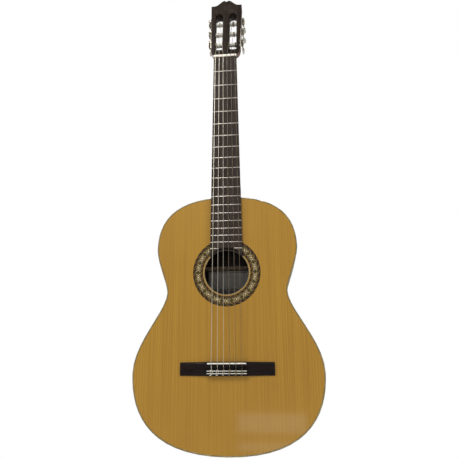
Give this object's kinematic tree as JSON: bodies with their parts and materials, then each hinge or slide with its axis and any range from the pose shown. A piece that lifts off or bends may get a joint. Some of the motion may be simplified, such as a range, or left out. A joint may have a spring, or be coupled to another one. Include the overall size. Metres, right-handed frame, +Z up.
{
  "type": "classical guitar",
  "caption": "Nylon-string classical guitar with a hollow waisted body, tilted slotted head, worm-geared tuning machines and tied strings.",
  "frame": {"origin": "front edge of the nut, on the glue plane between the neck and the fingerboard, midway across the neck; it is where the two arms of a wall hanger carry the head's shoulders", "axes": "+Z up the neck towards the head, -Y out of the soundboard towards a listener, +X to that listener's right, which is the side of the thin strings"},
  "size_m": [0.3584, 0.1147, 0.9961],
  "materials": {
    "cedar_top": "gloss varnish over straight-grained orange-gold softwood",
    "mahogany_body": "gloss varnish over red-brown wood",
    "mahogany_neck": "satin varnish over red-brown wood",
    "rosewood": "oiled dark rosewood",
    "binding": "gloss dark rosewood edging",
    "inner_spruce": "bare sanded softwood",
    "rosette_mosaic": "gloss varnish over end-grain mosaic",
    "head_veneer": "gloss dark rosewood veneer",
    "fingerboard_wood": "dry dark rosewood",
    "bone": "ivory-coloured, worn smooth",
    "nickel": "nickel plate, lightly dulled",
    "brass": "bright brass",
    "pearloid": "swirled pearl plastic",
    "roller_plastic": "white plastic sleeve",
    "nylon_string": "clear nylon",
    "wound_string": "silver-plated copper winding"
  },
  "bodies": {
    "guitar": {"soundboard": "cedar_top", "back_plate": "mahogany_body", "rib_bass": "mahogany_body", "rib_treble": "mahogany_body", "top_binding": "binding", "back_binding": "binding", "top_lining_bass": "inner_spruce", "top_lining_treble": "inner_spruce", "back_lining_bass": "inner_spruce", "back_lining_treble": "inner_spruce", "harmonic_bar_upper": "inner_spruce", "harmonic_bar_lower": "inner_spruce", "fan_bracing": "inner_spruce", "back_brace_upper": "inner_spruce", "back_brace_middle": "inner_spruce", "back_brace_lower": "inner_spruce", "neck_block": "mahogany_body", "tail_block": "mahogany_body", "rosette": "rosette_mosaic", "neck": "mahogany_neck", "heel_cap": "rosewood", "headstock": "mahogany_neck", "head_veneer": "head_veneer", "fingerboard": "fingerboard_wood", "nut": "bone", "bridge": "rosewood", "saddle": "bone", "tie_block_trim": "bone", "tuner_plate_bass": "nickel", "tuner_plate_treble": "nickel", "string_1": "nylon_string", "string_2": "nylon_string", "string_3": "nylon_string", "string_4": "wound_string", "string_5": "wound_string", "string_6": "wound_string"},
    "tuner_1_worm": {"tuner_1_worm_shaft": "nickel", "tuner_1_button": "pearloid"},
    "tuner_1_roller": {"tuner_1_roller": "roller_plastic", "tuner_1_gear": "brass"},
    "tuner_2_worm": {"tuner_2_worm_shaft": "nickel", "tuner_2_button": "pearloid"},
    "tuner_2_roller": {"tuner_2_roller": "roller_plastic", "tuner_2_gear": "brass"},
    "tuner_3_worm": {"tuner_3_worm_shaft": "nickel", "tuner_3_button": "pearloid"},
    "tuner_3_roller": {"tuner_3_roller": "roller_plastic", "tuner_3_gear": "brass"},
    "tuner_4_worm": {"tuner_4_worm_shaft": "nickel", "tuner_4_button": "pearloid"},
    "tuner_4_roller": {"tuner_4_roller": "roller_plastic", "tuner_4_gear": "brass"},
    "tuner_5_worm": {"tuner_5_worm_shaft": "nickel", "tuner_5_button": "pearloid"},
    "tuner_5_roller": {"tuner_5_roller": "roller_plastic", "tuner_5_gear": "brass"},
    "tuner_6_worm": {"tuner_6_worm_shaft": "nickel", "tuner_6_button": "pearloid"},
    "tuner_6_roller": {"tuner_6_roller": "roller_plastic", "tuner_6_gear": "brass"}
  },
  "joints": [
    {"name": "tuner_1_button_turn", "type": "hinge", "parent": "guitar", "child": "tuner_1_worm", "pos_m": [0.03785, 0.02117, 0.05445], "axis": [0, 0.9744, -0.225], "continuous": true},
    {"name": "tuner_1_roller_turn", "type": "hinge", "parent": "guitar", "child": "tuner_1_roller", "pos_m": [0.03262, 0.01938, 0.04672], "axis": [0.9996, -0.0063, -0.0272], "continuous": true},
    {"name": "tuner_2_button_turn", "type": "hinge", "parent": "guitar", "child": "tuner_2_worm", "pos_m": [0.03882, 0.02904, 0.08854], "axis": [0, 0.9744, -0.225], "continuous": true},
    {"name": "tuner_2_roller_turn", "type": "hinge", "parent": "guitar", "child": "tuner_2_roller", "pos_m": [0.0336, 0.02725, 0.08081], "axis": [0.9996, -0.0063, -0.0272], "continuous": true},
    {"name": "tuner_3_button_turn", "type": "hinge", "parent": "guitar", "child": "tuner_3_worm", "pos_m": [0.0398, 0.03691, 0.12263], "axis": [0, 0.9744, -0.225], "continuous": true},
    {"name": "tuner_3_roller_turn", "type": "hinge", "parent": "guitar", "child": "tuner_3_roller", "pos_m": [0.03458, 0.03512, 0.1149], "axis": [0.9996, -0.0063, -0.0272], "continuous": true},
    {"name": "tuner_4_button_turn", "type": "hinge", "parent": "guitar", "child": "tuner_4_worm", "pos_m": [-0.0398, 0.03691, 0.12263], "axis": [0, 0.9744, -0.225], "continuous": true},
    {"name": "tuner_4_roller_turn", "type": "hinge", "parent": "guitar", "child": "tuner_4_roller", "pos_m": [-0.03458, 0.03512, 0.1149], "axis": [0.9996, 0.0063, 0.0272], "continuous": true},
    {"name": "tuner_5_button_turn", "type": "hinge", "parent": "guitar", "child": "tuner_5_worm", "pos_m": [-0.03882, 0.02904, 0.08854], "axis": [0, 0.9744, -0.225], "continuous": true},
    {"name": "tuner_5_roller_turn", "type": "hinge", "parent": "guitar", "child": "tuner_5_roller", "pos_m": [-0.0336, 0.02725, 0.08081], "axis": [0.9996, 0.0063, 0.0272], "continuous": true},
    {"name": "tuner_6_button_turn", "type": "hinge", "parent": "guitar", "child": "tuner_6_worm", "pos_m": [-0.03785, 0.02117, 0.05445], "axis": [0, 0.9744, -0.225], "continuous": true},
    {"name": "tuner_6_roller_turn", "type": "hinge", "parent": "guitar", "child": "tuner_6_roller", "pos_m": [-0.03262, 0.01938, 0.04672], "axis": [0.9996, 0.0063, 0.0272], "continuous": true}
  ],
  "couplings": [
    {"joint": "tuner_1_roller_turn", "follows": "tuner_1_button_turn", "ratio": 0.071429},
    {"joint": "tuner_2_roller_turn", "follows": "tuner_2_button_turn", "ratio": 0.071429},
    {"joint": "tuner_3_roller_turn", "follows": "tuner_3_button_turn", "ratio": 0.071429},
    {"joint": "tuner_4_roller_turn", "follows": "tuner_4_button_turn", "ratio": -0.071429},
    {"joint": "tuner_5_roller_turn", "follows": "tuner_5_button_turn", "ratio": -0.071429},
    {"joint": "tuner_6_roller_turn", "follows": "tuner_6_button_turn", "ratio": -0.071429}
  ]
}
